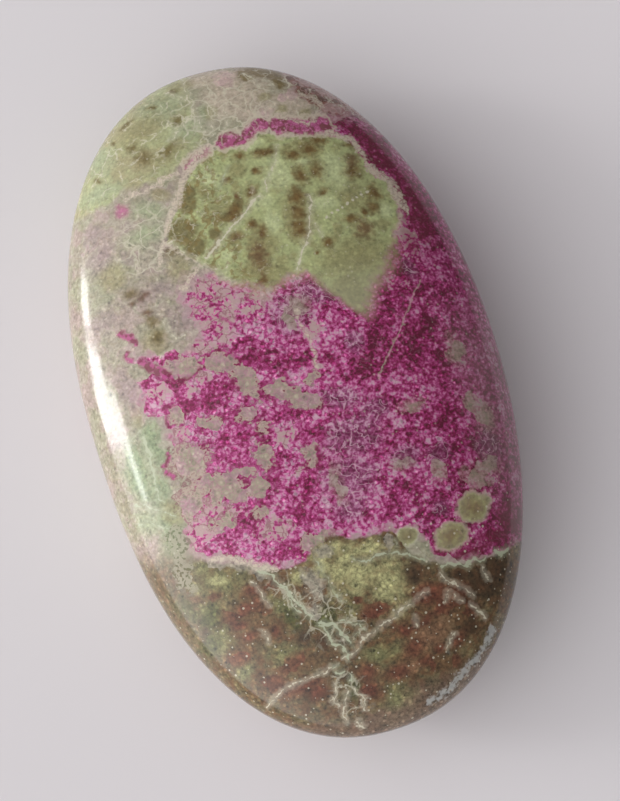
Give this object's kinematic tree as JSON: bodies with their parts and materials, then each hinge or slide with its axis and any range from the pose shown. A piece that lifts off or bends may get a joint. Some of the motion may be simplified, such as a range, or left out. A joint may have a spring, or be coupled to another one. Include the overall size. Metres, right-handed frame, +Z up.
{
  "type": "atlantisite palm stone",
  "caption": "Smooth oval palm stone of green serpentine with magenta stichtite, low domed crown, rounded belly and a small flat to rest on.",
  "frame": {"origin": "middle of the stone's plan outline, on the flat that it rests on", "axes": "+Y along the stone's long axis, towards the end shown at the top of the picture; +Z up through the crown; +X across the stone"},
  "size_m": [0.0448, 0.076, 0.018],
  "materials": {
    "stone": "polished; pale and olive green serpentine mottled with granular magenta and lilac stichtite, thin cream veins"
  },
  "bodies": {
    "root": {"polished_stone": "stone"}
  },
  "joints": []
}
